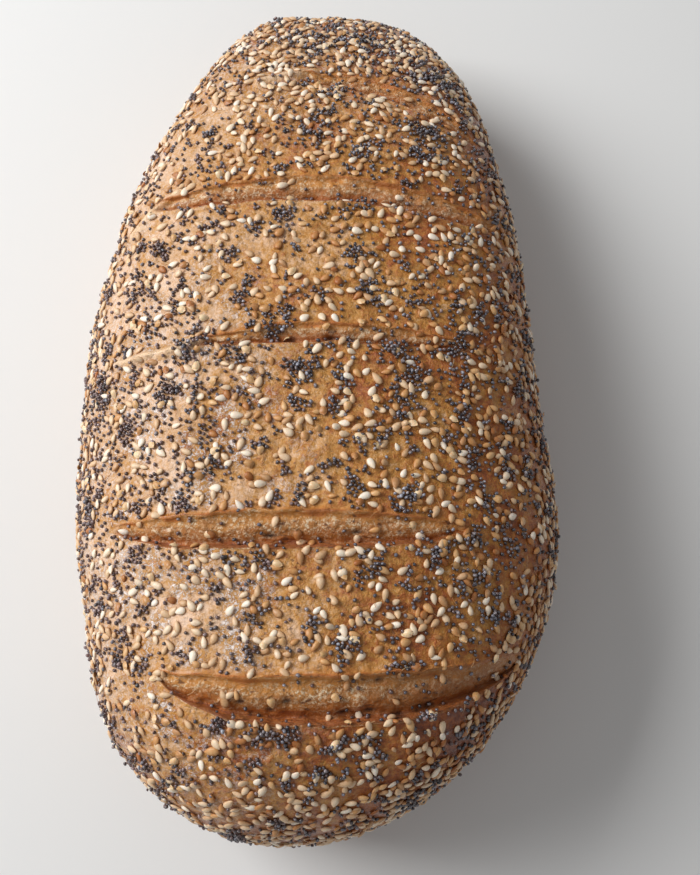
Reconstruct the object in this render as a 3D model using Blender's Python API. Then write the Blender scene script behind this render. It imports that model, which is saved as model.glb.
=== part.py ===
"""Seeded loaf: an oval hearth loaf with five scores across its top and sesame seeds baked onto the crust.

The loaf is one solid. A sphere is shaped into it by a formula: each of the sphere's rings becomes one
cross-section, and the rings gather along the scores, so that lips and grooves have edges of their own.
Metres, +Z up. The loaf lies along Y with its blunt near end at -Y, and the origin is under the middle of
its box, on the flat base.
"""

import math
import random

import bmesh
import bpy
from mathutils import Matrix, Vector, noise
from mathutils.bvhtree import BVHTree

LENGTH = 0.2552
HEIGHT = 0.0872
GIRTH_HEIGHT = 0.028
CREST_SHARE = 0.44
SQUARENESS = 2.6
FOOT_DEPTH = 1.25
FOOT_ROUNDING = 0.8
FOOT_BLUNTNESS = 4.0

AXIS_BOW = 0.0207
LEFT_REACH, LEFT_WIDEST, LEFT_NEAR_ROUNDING, LEFT_FAR_ROUNDING = 0.0451, -0.0809, 2.14, 1.99
RIGHT_REACH, RIGHT_WIDEST, RIGHT_NEAR_ROUNDING, RIGHT_FAR_ROUNDING = 0.0955, -0.0357, 1.74, 2.46
TOP_HIGHEST, TOP_NEAR_ROUNDING, TOP_FAR_ROUNDING = -0.0835, 2.03, 1.80

# Each score, from the near end: y of its far edge at x = 0, its slant and bow over 50 mm of x, its widest
# opening, and x of its left and right ends.
SCORES = (
    (-0.0788, -0.0011, 0.0032, 0.0121, -0.034, 0.062),
    (-0.0379, -0.0010, -0.0039, 0.0093, -0.046, 0.046),
    (0.0117, 0.0025, -0.0072, 0.0050, -0.024, 0.052),
    (0.0575, 0.0007, -0.0092, 0.0077, -0.038, 0.062),
    (0.0939, 0.0099, -0.0236, 0.0062, 0.004, 0.058),
)
BOW_SPAN = 0.05
CLOSED_GAP = 0.0024
END_POWER, END_ROUNDING = 3.0, 0.7
SCORE_DEPTH = 0.45
# Across a score, from its far edge to its near edge: how far along, and its share of the full depth.
PROFILE = ((0.0, -0.22), (0.14, 0.28), (0.5, 0.42), (0.84, 1.0), (1.0, -0.08))
LIP_WIDTH = 0.0022
OPEN_ENOUGH = 0.05

LUMP_HEIGHT = 0.0009
LUMP_SIZE = 0.028

# A ring keeps to its score's line over the top, and to an even spacing along the loaf below. It keeps fully
# to the line once FOLLOW_RISE times the sine of its angle, plus FOLLOW_START, comes to 1.
FOLLOW_RISE, FOLLOW_START = 2.2, 0.35
SHAPE_PASSES = 6
SEGMENTS = 36
RINGS_BETWEEN = 3
RINGS_AT_END = 5

SEED_COUNT = 110
SEED_LENGTH, SEED_WIDTH, SEED_THICKNESS = 0.0032, 0.0020, 0.0011
SEED_SIZE_SPREAD = 0.12
SEED_TIP = 0.38
SEED_SUNK = 0.35
SEED_SIDES, SEED_BANDS = 5, 4
SEED_TRIES = 14
SEED_LOWEST = 0.010
SEED_BELOW_GIRTH = 0.15
SEED_RANDOM = 7

CRUST_COLOUR = (0.49, 0.25, 0.085, 1.0)
CRUST_ROUGHNESS = 0.55
SHARP_ANGLE = math.radians(40.0)


def bulge(y, widest, near_rounding, far_rounding):
    """1 at y = widest, falling along a rounded curve to 0 at both ends of the loaf."""
    if y < widest:
        share, rounding = (widest - y) / (widest + LENGTH / 2), near_rounding
    else:
        share, rounding = (y - widest) / (LENGTH / 2 - widest), far_rounding
    share = min(max(share, 0.0), 1.0)
    return (1.0 - share**rounding) ** (1.0 / rounding)


def section(y):
    """The cross-section at y: x of the crest, reach to the left and right of it, height, and foot depth."""
    bowed_axis = -AXIS_BOW * (1.0 - (2.0 * y / LENGTH) ** 2)
    left = bowed_axis - LEFT_REACH * bulge(y, LEFT_WIDEST, LEFT_NEAR_ROUNDING, LEFT_FAR_ROUNDING)
    right = bowed_axis + RIGHT_REACH * bulge(y, RIGHT_WIDEST, RIGHT_NEAR_ROUNDING, RIGHT_FAR_ROUNDING)
    crest = left + CREST_SHARE * (right - left)
    rise = (HEIGHT - GIRTH_HEIGHT) * bulge(y, TOP_HIGHEST, TOP_NEAR_ROUNDING, TOP_FAR_ROUNDING)
    foot = FOOT_DEPTH * GIRTH_HEIGHT * bulge(y, 0.0, FOOT_BLUNTNESS, FOOT_BLUNTNESS)
    return crest, crest - left, right - crest, rise, foot


def far_edge(score, x):
    start, slant, bow = score[:3]
    across = x / BOW_SPAN
    return start + slant * across + bow * across**2


def openness(score, x):
    """How far the score stands open at x: 1 in its middle, 0 past its ends."""
    left_end, right_end = score[4:]
    middle, half = (left_end + right_end) / 2, (right_end - left_end) / 2
    share = min(abs((x - middle) / half), 1.0)
    return (1.0 - share**END_POWER) ** END_ROUNDING


def gap(score, x):
    return max(score[3] * openness(score, x), CLOSED_GAP)


def ring_rules():
    """One rule for each ring, from the near end: y as a function of x, then its score and depth."""
    rules = []

    def plain(low, high, count, easing=lambda share: share):
        for step in range(1, count + 1):
            share = easing(step / (count + 1))
            rules.append((lambda x, s=share: low(x) + s * (high(x) - low(x)), None, 0.0))

    def near_shoulder(score):
        return lambda x: far_edge(score, x) - gap(score, x) - LIP_WIDTH

    def far_shoulder(score):
        return lambda x: far_edge(score, x) + LIP_WIDTH

    def across(score, share):
        return lambda x: far_edge(score, x) - share * gap(score, x)

    def from_both(share):
        return math.sin(share * math.pi / 2) ** 2

    def from_end(share):
        return math.sin(share * math.pi / 2)

    plain(lambda x: -LENGTH / 2, near_shoulder(SCORES[0]), RINGS_AT_END, from_both)
    for number, score in enumerate(SCORES):
        rules.append((near_shoulder(score), None, 0.0))
        for share, depth in reversed(PROFILE):
            rules.append((across(score, share), score, depth))
        rules.append((far_shoulder(score), None, 0.0))
        if number + 1 < len(SCORES):
            plain(far_shoulder(score), near_shoulder(SCORES[number + 1]), RINGS_BETWEEN)
    plain(far_shoulder(SCORES[-1]), lambda x: LENGTH / 2, RINGS_AT_END, from_end)
    return rules


def lump(point):
    return LUMP_HEIGHT * noise.noise(point / LUMP_SIZE)


def loaf_point(rule, even_y, angle):
    """The surface at one ring and angle. Angle 0 is the right side, a quarter turn the crest."""
    line, score, depth = rule
    upward = math.sin(angle)
    follow = min(max(FOLLOW_RISE * upward + FOLLOW_START, 0.0), 1.0)
    y, x = even_y, 0.0
    for _ in range(SHAPE_PASSES):
        crest, left_reach, right_reach, rise, foot = section(y)
        across = math.cos(angle)
        reach = right_reach if across > 0 else left_reach
        x = crest + math.copysign(reach * abs(across) ** (2.0 / SQUARENESS), across)
        y = even_y + follow * (line(x) - even_y)
    if upward >= 0.0:
        z = GIRTH_HEIGHT + rise * upward ** (2.0 / SQUARENESS)
    else:
        z = max(GIRTH_HEIGHT - foot * (-upward) ** FOOT_ROUNDING, 0.0)
    point = Vector((x, y, z))
    if z > 0.0:
        out = Vector((across, 0.0, max(upward, 0.0))).normalized()
        point += out * lump(point) * min(z / GIRTH_HEIGHT, 1.0)
        if score and upward > 0.0:
            point.z -= depth * SCORE_DEPTH * score[3] * openness(score, x)
    return point


def make_body(collection):
    """The loaf without seeds, from a sphere whose poles lie at the loaf's two ends."""
    rules = ring_rules()
    rings = len(rules)
    mesh = bpy.data.meshes.new("loaf")
    form = bmesh.new()
    bmesh.ops.create_uvsphere(form, u_segments=SEGMENTS, v_segments=rings + 1, radius=1.0)
    bmesh.ops.rotate(form, verts=form.verts, matrix=Matrix.Rotation(math.pi / 2, 3, "X"))
    middle = [rule[0](0.0) for rule in rules]
    for vertex in form.verts:
        from_near = math.acos(min(max(-vertex.co.y, -1.0), 1.0))
        number = round(from_near / math.pi * (rings + 1))
        if number in (0, rings + 1):
            vertex.co = Vector((0.0, LENGTH / 2 * (1 if number else -1), GIRTH_HEIGHT))
            continue
        angle = math.atan2(vertex.co.z, vertex.co.x)
        vertex.co = loaf_point(rules[number - 1], middle[number - 1], angle)
    bmesh.ops.recalc_face_normals(form, faces=form.faces)
    bmesh.ops.triangulate(form, faces=form.faces, quad_method="FIXED")
    form.to_mesh(mesh)
    form.free()
    body = bpy.data.objects.new("loaf", mesh)
    collection.objects.link(body)
    return body


def in_a_score(point):
    return any(
        openness(score, point.x) > OPEN_ENOUGH
        and -LIP_WIDTH < far_edge(score, point.x) - point.y < gap(score, point.x) + LIP_WIDTH
        for score in SCORES
    )


def seed_places(body, draw):
    """Spots on the crust, each the one of several draws that lies farthest from the spots before it.

    A draw looks from a random spot on a wide half-tube round the loaf straight in at the loaf's long axis.
    """
    tree = BVHTree.FromPolygons([v.co for v in body.data.vertices], [p.vertices for p in body.data.polygons])
    spots = []
    while len(spots) < SEED_COUNT:
        best, best_distance = None, -1.0
        for _ in range(SEED_TRIES):
            y = draw.uniform(-LENGTH / 2, LENGTH / 2)
            angle = draw.uniform(-SEED_BELOW_GIRTH, math.pi + SEED_BELOW_GIRTH)
            outward = Vector((math.cos(angle), 0.0, math.sin(angle)))
            place, normal = tree.ray_cast(Vector((0.0, y, GIRTH_HEIGHT)) + outward * LENGTH, -outward)[:2]
            if place is None or place.z < SEED_LOWEST or in_a_score(place):
                continue
            distance = min(((place - spot[0]).length for spot in spots), default=1.0)
            if distance > best_distance:
                best, best_distance = (place, normal), distance
        if best:
            spots.append(best)
    return spots


def make_seed(number, place, normal, draw, collection):
    """A flat teardrop lying on the crust, its long axis turned at random."""
    scale = 1.0 + draw.uniform(-SEED_SIZE_SPREAD, SEED_SIZE_SPREAD)
    form = bmesh.new()
    bmesh.ops.create_uvsphere(form, u_segments=SEED_SIDES, v_segments=SEED_BANDS, radius=0.5)
    for vertex in form.verts:
        taper = 1.0 - SEED_TIP * 2.0 * vertex.co.z
        vertex.co = Vector(
            (
                vertex.co.x * taper * SEED_WIDTH,
                vertex.co.y * taper * SEED_THICKNESS,
                vertex.co.z * SEED_LENGTH,
            )
        )
    mesh = bpy.data.meshes.new(f"seed_{number}")
    form.to_mesh(mesh)
    form.free()
    lay_down = Matrix.Rotation(math.pi / 2, 4, "X")
    turn = Matrix.Rotation(draw.uniform(0.0, 2.0 * math.pi), 4, "Z")
    stand = normal.to_track_quat("Z", "Y").to_matrix().to_4x4()
    lift = normal * (SEED_THICKNESS * scale * (0.5 - SEED_SUNK))
    mesh.transform(Matrix.Translation(place + lift) @ stand @ turn @ lay_down @ Matrix.Scale(scale, 4))
    collection.objects.link(bpy.data.objects.new(f"seed_{number}", mesh))


def fuse(body, seeds):
    """Joins the seeds to the loaf in one union, and keeps only the outer skin of the result."""
    union = body.modifiers.new("seeds", "BOOLEAN")
    union.operation = "UNION"
    union.operand_type = "COLLECTION"
    union.collection = seeds
    union.solver = "EXACT"
    bpy.context.view_layer.update()
    joined = bpy.data.meshes.new_from_object(body.evaluated_get(bpy.context.evaluated_depsgraph_get()))
    body.modifiers.clear()
    bare = body.data
    body.data = joined
    bpy.data.meshes.remove(bare)
    joined.name = "loaf"
    for seed in list(seeds.objects):
        mesh = seed.data
        bpy.data.objects.remove(seed)
        bpy.data.meshes.remove(mesh)
    bpy.data.collections.remove(seeds)


def keep_outer_skin(form):
    """Deletes every part of the mesh that isn't joined to its largest part."""
    unseen, parts = set(form.verts), []
    while unseen:
        edge_of_part = [unseen.pop()]
        part = set(edge_of_part)
        while edge_of_part:
            for edge in edge_of_part.pop().link_edges:
                for vertex in edge.verts:
                    if vertex in unseen:
                        unseen.discard(vertex)
                        part.add(vertex)
                        edge_of_part.append(vertex)
        parts.append(part)
    largest = max(parts, key=len)
    bmesh.ops.delete(form, geom=[v for v in form.verts if v not in largest], context="VERTS")


def finish_mesh(body):
    """One closed skin of triangles, centred over the origin and resting on z = 0, shaded smooth."""
    form = bmesh.new()
    form.from_mesh(body.data)
    keep_outer_skin(form)
    bmesh.ops.triangulate(form, faces=form.faces)
    low = [min(v.co[axis] for v in form.verts) for axis in range(3)]
    high = [max(v.co[axis] for v in form.verts) for axis in range(3)]
    centre = Vector(((low[0] + high[0]) / 2, (low[1] + high[1]) / 2, low[2]))
    bmesh.ops.translate(form, verts=form.verts, vec=-centre)
    form.to_mesh(body.data)
    form.free()
    body.data.shade_smooth()
    body.data.set_sharp_from_angle(angle=SHARP_ANGLE)


def crust_material():
    material = bpy.data.materials.new("crust")
    material.use_nodes = True
    shader = material.node_tree.nodes["Principled BSDF"]
    shader.inputs["Base Color"].default_value = CRUST_COLOUR
    shader.inputs["Roughness"].default_value = CRUST_ROUGHNESS
    return material


def main():
    for thing in list(bpy.data.objects):
        bpy.data.objects.remove(thing)
    parts = bpy.data.collections.new("seeded_loaf")
    seeds = bpy.data.collections.new("seeds")
    bpy.context.scene.collection.children.link(parts)
    bpy.context.scene.collection.children.link(seeds)
    body = make_body(parts)
    draw = random.Random(SEED_RANDOM)
    for number, (place, normal) in enumerate(seed_places(body, draw)):
        make_seed(number, place, normal, draw, seeds)
    fuse(body, seeds)
    finish_mesh(body)
    body.data.materials.clear()
    body.data.materials.append(crust_material())


main()
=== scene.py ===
"""Seeded loaf: the baked crust with its five open scores, and the sesame and poppy seeds that cover it.

The crust is one fine mesh, shaped by the same formula as the plain solid that it replaces. Rings of points
run round the loaf and gather at the scores. The seeds are then laid on the crust, each at its true size.
Metres, +Z up, the loaf along Y with its blunt near end at -Y.
"""

import functools
import math

import bpy
import numpy as np
from mathutils import Matrix, Vector, kdtree, noise


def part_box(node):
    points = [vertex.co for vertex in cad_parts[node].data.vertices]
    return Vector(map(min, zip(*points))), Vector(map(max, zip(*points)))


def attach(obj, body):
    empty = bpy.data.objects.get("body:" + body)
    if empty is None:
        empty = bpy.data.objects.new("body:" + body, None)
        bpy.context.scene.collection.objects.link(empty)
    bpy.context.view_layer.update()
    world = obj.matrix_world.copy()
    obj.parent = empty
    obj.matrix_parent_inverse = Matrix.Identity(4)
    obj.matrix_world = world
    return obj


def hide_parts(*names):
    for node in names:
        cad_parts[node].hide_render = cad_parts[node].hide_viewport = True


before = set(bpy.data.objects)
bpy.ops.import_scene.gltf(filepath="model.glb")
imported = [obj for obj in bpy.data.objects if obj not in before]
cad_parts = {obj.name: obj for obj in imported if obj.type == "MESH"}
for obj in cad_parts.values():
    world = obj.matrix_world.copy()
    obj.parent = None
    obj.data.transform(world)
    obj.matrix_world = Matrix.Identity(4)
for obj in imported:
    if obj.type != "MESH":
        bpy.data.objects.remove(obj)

bl_info = {
    "name": "Seeded Loaf",
    "version": (1, 0, 0),
    "blender": (4, 5, 0),
    "location": "View3D > Sidebar > Seeded Loaf",
    "description": "Builds a scored hearth loaf covered in sesame and poppy seeds",
    "category": "Add Mesh",
}

CAD_LOW, CAD_HIGH = (np.array(corner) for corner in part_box("loaf"))
MM = 0.001

LENGTH = 0.2552
HEIGHT = 0.0872
GIRTH_HEIGHT = 0.028
CREST_SHARE = 0.44
SQUARENESS = 2.6
FOOT_DEPTH, FOOT_ROUNDING, FOOT_BLUNTNESS = 1.25, 0.8, 4.0

AXIS_BOW = 0.0207
LEFT_REACH, LEFT_WIDEST, LEFT_NEAR_ROUNDING, LEFT_FAR_ROUNDING = 0.0451, -0.0809, 2.14, 1.99
RIGHT_REACH, RIGHT_WIDEST, RIGHT_NEAR_ROUNDING, RIGHT_FAR_ROUNDING = 0.0955, -0.0357, 1.74, 2.46
TOP_HIGHEST, TOP_NEAR_ROUNDING, TOP_FAR_ROUNDING = -0.0835, 2.03, 1.80

# Each score: y of its far edge at x = 0, its slant and bow over BOW_SPAN of x, its widest opening, and the x
# of its left and right ends.
SCORES = (
    (-0.0788, -0.0011, 0.0032, 0.0121, -0.034, 0.062),
    (-0.0379, -0.0010, -0.0039, 0.0093, -0.046, 0.046),
    (0.0117, 0.0025, -0.0072, 0.0050, -0.024, 0.052),
    (0.0575, 0.0007, -0.0092, 0.0077, -0.038, 0.062),
    (0.0939, 0.0099, -0.0236, 0.0062, 0.004, 0.058),
)
BOW_SPAN = 0.05
CLOSED_GAP = 0.0024
END_POWER, END_ROUNDING = 3.0, 0.7
SCORE_DEPTH = 0.45
SHOULDER_WIDTH, LIP_WIDTH = 0.0022, 0.0013
# Across a score, from its far edge to its near edge: how far along, and the depth there as a share of the
# full depth. Below zero the edge stands up.
PROFILE_ALONG = (0.0, 0.05, 0.14, 0.32, 0.5, 0.68, 0.8, 0.9, 0.955, 1.0)
PROFILE_DEPTH = (-0.22, 0.06, 0.26, 0.34, 0.42, 0.66, 0.96, 1.0, 0.5, -0.08)
CRUMB_FROM, CRUMB_TO = 0.02, 0.975
RAGGED_EDGE, RAGGED_LENGTH, RAGGED_STEP = 0.0007, 0.006, 7.3

# Relief, as heights and sizes of its features. Blisters rise where their noise passes BLISTER_FROM. The
# crumb's noise is drawn out along x and is taken from CRUMB_MIDDLE.
LUMP_HEIGHT, LUMP_SIZE = 0.0009, 0.028
RIPPLE_HEIGHT, RIPPLE_SIZE = 0.00035, 0.0062
GRAIN_HEIGHT, GRAIN_SIZE = 0.00015, 0.0024
BLISTER_HEIGHT, BLISTER_SIZE, BLISTER_FROM = 0.0016, 0.0058, 0.42
CRUMB_HEIGHT, CRUMB_SIZE, CRUMB_STRETCH, CRUMB_MIDDLE = 0.0008, 0.0019, 0.5, 0.2
INSET = 0.0010
BOX_MARGIN = 0.0006

# Thin ridges where a score's edge has closed again: points along each, in millimetres.
RIDGES = (
    ((-46.0, 4.0), (-32.0, 5.6), (-22.0, 8.0)),
    ((-30.0, 55.5), (-38.0, 50.0), (-44.0, 44.0)),
    ((-8.0, 92.0), (0.0, 93.8), (8.0, 95.2)),
)
RIDGE_HEIGHT, RIDGE_WIDTH = 0.0015, 0.0013
# Holes in the scores' floors, sunk and painted dark as shade: x, y, half-length along x, half-width, in
# millimetres.
PITS = (
    (13.1, -88.0, 1.6, 0.6), (27.3, -89.4, 1.8, 0.6), (-4.4, -86.6, 1.2, 0.6), (-0.3, -84.7, 1.3, 0.8),
    (22.4, -80.3, 1.0, 0.6), (-12.0, -84.6, 1.1, 0.6), (20.0, -87.6, 1.5, 0.5), (35.0, -87.0, 1.2, 0.5),
    (-16.1, 51.0, 1.0, 0.8), (12.2, 8.2, 1.3, 0.6), (18.0, -43.6, 1.4, 0.5), (-4.0, -44.0, 1.6, 0.5),
)
PIT_DEPTH = 0.0014

# The crust's mesh: points round the top and the foot, and rings from the near end to the far end.
TOP_SEGMENTS, FOOT_SEGMENTS = 226, 50
UPPER_RISE, FOOT_DROP, SPACING_STEPS = 0.42, 0.25, 4000
RINGS_AT_NEAR_END, RINGS_AT_FAR_END = 50, 34
RINGS_BETWEEN = (24, 36, 30, 22)
RINGS_ON_SHOULDER = 3
RINGS_IN_SCORE = 17
# How closely a ring follows its line: at the girth, what it gains above it, and how many passes settle it.
FOLLOW_AT_GIRTH, FOLLOW_RISE, FOLLOW_PASSES = 0.35, 2.2, 6

# Heaps of poppy seeds: x, y, reach along x, reach along y, how many. Millimetres, but for the number.
POPPY_HEAPS = (
    (4.1, -1.1, 3.0, 3.2, 30), (2.6, -9.4, 2.2, 2.0, 18), (0.1, 15.8, 2.2, 2.4, 24),
    (-30.7, -4.4, 1.8, 3.0, 22), (-40.5, -1.3, 1.6, 1.8, 12), (-17.2, -25.2, 2.2, 2.0, 14),
    (-24.6, -28.5, 1.8, 2.6, 16), (-33.0, -32.1, 2.2, 2.4, 18), (-26.3, -34.6, 2.4, 2.2, 18),
    (-37.9, -36.2, 2.0, 2.0, 16), (-50.6, -3.4, 3.0, 4.6, 55), (-42.6, -15.4, 3.0, 3.4, 26),
    (9.0, 20.0, 2.2, 1.8, 16), (-11.9, -6.9, 1.8, 1.4, 9), (-6.0, -20.4, 1.6, 2.0, 10),
    (-3.3, -35.6, 1.4, 1.4, 9), (2.5, -33.5, 1.6, 1.6, 11), (-29.6, 18.7, 1.6, 1.4, 9),
    (-39.9, 24.6, 1.4, 1.4, 9), (-53.3, -38.8, 2.0, 6.0, 40), (-6.8, -49.5, 4.2, 1.2, 28),
    (-13.3, -52.8, 1.3, 3.2, 20), (-35.3, -59.5, 1.8, 1.8, 11), (-40.6, -68.0, 1.6, 2.2, 12),
    (-36.3, -73.7, 2.4, 1.8, 16), (6.0, -68.0, 2.2, 3.0, 22), (-48.5, -60.8, 1.6, 2.4, 15),
    (30.7, -36.7, 3.6, 1.2, 28), (5.2, -35.1, 1.8, 1.2, 9), (42.7, -45.8, 2.2, 2.0, 15),
    (36.6, -48.8, 2.4, 1.8, 15), (22.2, -52.4, 1.8, 3.0, 17), (57.2, -48.7, 1.6, 2.6, 16),
    (55.6, -42.1, 1.8, 2.4, 16), (41.4, -57.8, 2.2, 1.8, 13), (32.7, -58.7, 2.0, 1.4, 10),
    (23.5, -67.5, 2.0, 1.6, 13), (18.4, -64.7, 1.6, 1.4, 9), (13.9, -70.4, 3.0, 2.6, 22),
    (28.9, -77.0, 3.6, 1.2, 24), (58.0, -69.4, 2.0, 2.4, 17), (12.4, -95.7, 2.2, 2.0, 24),
    (19.0, -92.9, 3.0, 1.4, 26), (43.0, -93.3, 2.2, 1.6, 15), (-3.8, -91.4, 4.6, 1.4, 40),
    (-10.2, -99.3, 2.2, 1.6, 15), (-1.5, -104.3, 1.8, 1.8, 12), (32.5, -4.7, 4.2, 4.4, 74),
    (45.8, 4.6, 2.6, 2.4, 27), (52.8, 16.1, 2.2, 2.2, 21), (23.1, 22.0, 1.8, 2.6, 18),
    (24.4, 18.8, 2.0, 1.8, 12), (17.2, 32.3, 1.6, 1.8, 12), (20.7, 29.9, 1.6, 1.6, 11),
    (13.4, -11.0, 2.0, 1.8, 15), (28.0, -12.4, 2.2, 1.4, 14), (24.4, -20.6, 1.4, 2.6, 15),
    (48.3, -5.3, 2.2, 2.4, 18), (46.0, -12.4, 1.8, 2.0, 14), (46.6, -17.2, 1.6, 1.8, 12),
    (45.7, -22.7, 1.8, 1.8, 12), (29.4, 5.1, 5.2, 1.0, 24), (38.2, 4.9, 1.8, 1.6, 14),
    (17.5, 7.0, 1.8, 0.8, 9), (11.4, 5.9, 1.8, 0.8, 9), (14.4, -2.4, 2.0, 2.2, 16),
    (5.6, 0.3, 1.8, 1.6, 12), (64.7, 2.3, 2.0, 2.6, 20), (57.6, -24.4, 2.0, 2.4, 15),
    (51.5, -35.1, 2.2, 2.4, 18), (32.2, -31.8, 2.0, 1.8, 14), (-33.1, 34.4, 2.0, 2.0, 14),
    (-36.3, 37.6, 2.0, 2.2, 16), (-3.2, -92.9, 4.2, 1.6, 36), (-4.7, -115.5, 3.2, 2.2, 26),
    (21.8, -98.7, 2.0, 1.6, 13), (-17.3, -89.7, 2.0, 1.6, 14), (-28.5, -101.5, 1.8, 1.6, 11),
    (8.3, -101.8, 2.2, 1.8, 15), (14.9, -72.1, 2.6, 2.4, 25), (7.0, 110.1, 5.4, 3.2, 70),
    (19.1, 108.9, 5.0, 3.0, 70), (28.2, 106.4, 4.6, 3.4, 70), (38.2, 100.5, 4.4, 3.6, 74),
    (44.6, 93.7, 3.6, 3.8, 64), (49.4, 91.1, 3.0, 4.2, 50), (21.3, 64.4, 2.6, 2.2, 23),
    (38.0, 63.6, 2.6, 2.2, 23), (35.3, 55.0, 2.0, 1.2, 12), (-1.4, 60.4, 1.8, 1.4, 12),
    (0.5, 44.6, 2.8, 2.2, 24), (-21.6, 74.4, 2.0, 1.8, 14), (-9.9, 73.7, 1.6, 1.6, 10),
    (9.2, 69.0, 2.0, 1.8, 14),
)
# A heap of poppy seeds: places tried for each seed, how far it lies from one that is there and how near two
# may come, in seed sizes, how loose the heap is, the share on top, and how high and how far off these sit.
HEAP_OFFERS, HEAP_STEP, HEAP_LOOSENESS, CLOSEST_POPPY = 6, (0.92, 1.12), (0.6, 1.4), 0.84
UPPER_SHARE, UPPER_LIFT, UPPER_STRAY = 0.22, 0.62, 0.3
# No poppy seed lies within the first distance of a sesame seed's middle. Within the second it sits higher.
BLOCKED_GAP, RAISED_GAP, RAISED_LIFT = 0.0012, 0.0015, 0.3
# How much seeds vary in size. Each side of a sesame seed varies again, within SESAME_SHAPE. A poppy seed has
# POPPY_SHAPE times its size. Seeds' middles sit above the skin by this share of their thickness or size.
SIZE_SPREAD, LEAST_SIZE, MOST_SIZE = 0.1, 0.75, 1.25
SESAME_SHAPE, SESAME_SEAT = (0.84, 1.12), (0.25, 0.5)
POPPY_SHAPE, POPPY_SEAT = (1.0, 0.84, 0.84), (0.22, 0.42)
# How many sesame seeds are tried for each that is wanted, and how near two may lie, in their widths.
SESAME_OFFERED, SESAME_SPACING = 1.35, 0.85
# The flakes: how many, and their least and greatest sizes.
FLAKES = {
    "sesame_hulls": (520, (0.0024, 0.0016, 0.0012), (0.0034, 0.0022, 0.0020)),
    "fibres": (420, (0.0022, 0.0022, 0.0022), (0.0046, 0.0046, 0.0046)),
}
FLAKE_LIFT = 0.00035
# Nothing lies below the first of these heights, all that may above the last, and a lower share between.
SEEDED_HEIGHTS = (0.003, 0.010, 0.026, 0.034)
UNDERSIDE_TOP, UNDERSIDE_BROWNING = 0.004, 0.62

FLOOR_REACH, FLOOR_DROP = 12.0, 0.0002
WINDOW_PLACE, WINDOW_AIM, WINDOW_SIZE = (-0.78, 0.34, 0.72), (0.0, 0.0, 0.05), 0.65


def growing(values, start, run, least=0.0, most=1.0):
    """How far the values have come from the start along the run, held between least and most."""
    return np.clip((values - start) / run, least, most)


def bell(values, middle, reach):
    """1 at the middle, falling smoothly towards 0 on both sides, and under a fiftieth at twice the reach."""
    return np.exp(-(((values - middle) / reach) ** 2))


def bulge(y, widest, near_rounding, far_rounding):
    """1 at y = widest, falling along a rounded curve to 0 at both ends of the loaf."""
    near = y < widest
    share = np.where(near, (widest - y) / (widest + LENGTH / 2), (y - widest) / (LENGTH / 2 - widest))
    rounding = np.where(near, near_rounding, far_rounding)
    return np.maximum(1.0 - np.clip(share, 0.0, 1.0) ** rounding, 0.0) ** (1.0 / rounding)


def section(y):
    """The cross-section at y: x of the crest, reach to the left and right of it, height, and foot depth."""
    bowed_axis = -AXIS_BOW * (1.0 - (2.0 * y / LENGTH) ** 2)
    left = bowed_axis - LEFT_REACH * bulge(y, LEFT_WIDEST, LEFT_NEAR_ROUNDING, LEFT_FAR_ROUNDING)
    right = bowed_axis + RIGHT_REACH * bulge(y, RIGHT_WIDEST, RIGHT_NEAR_ROUNDING, RIGHT_FAR_ROUNDING)
    crest = left + CREST_SHARE * (right - left)
    rise = (HEIGHT - GIRTH_HEIGHT) * bulge(y, TOP_HIGHEST, TOP_NEAR_ROUNDING, TOP_FAR_ROUNDING)
    foot = FOOT_DEPTH * GIRTH_HEIGHT * bulge(y, 0.0, FOOT_BLUNTNESS, FOOT_BLUNTNESS)
    return crest, crest - left, right - crest, rise, foot


def far_edge(score, x):
    start, slant, bow = score[:3]
    across = x / BOW_SPAN
    return start + slant * across + bow * across**2


def openness(score, x):
    """How far the score stands open at x: 1 in its middle, 0 past its ends."""
    left_end, right_end = score[4:]
    middle, half = (left_end + right_end) / 2, (right_end - left_end) / 2
    share = np.minimum(np.abs((x - middle) / half), 1.0)
    return (1.0 - share**END_POWER) ** END_ROUNDING


def gap(score, x):
    return np.maximum(score[3] * openness(score, x), CLOSED_GAP)


def ragged(x, row):
    """A small uneven shift of a score's edge along its length."""
    shifts = [noise.noise(Vector((place / RAGGED_LENGTH, row * RAGGED_STEP, 0.0))) for place in x]
    return RAGGED_EDGE * np.array(shifts)


def near_line(row, x):
    """y of a score's uneven near edge at x."""
    return far_edge(SCORES[row], x) - gap(SCORES[row], x) + ragged(x, 2 * row)


def far_line(row, x):
    """y of a score's uneven far edge at x."""
    return far_edge(SCORES[row], x) + ragged(x, 2 * row + 1)


def partway(first, second, share):
    """The line that lies this share of the way from the first line to the second."""
    return lambda x: first(x) + share * (second(x) - first(x))


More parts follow.
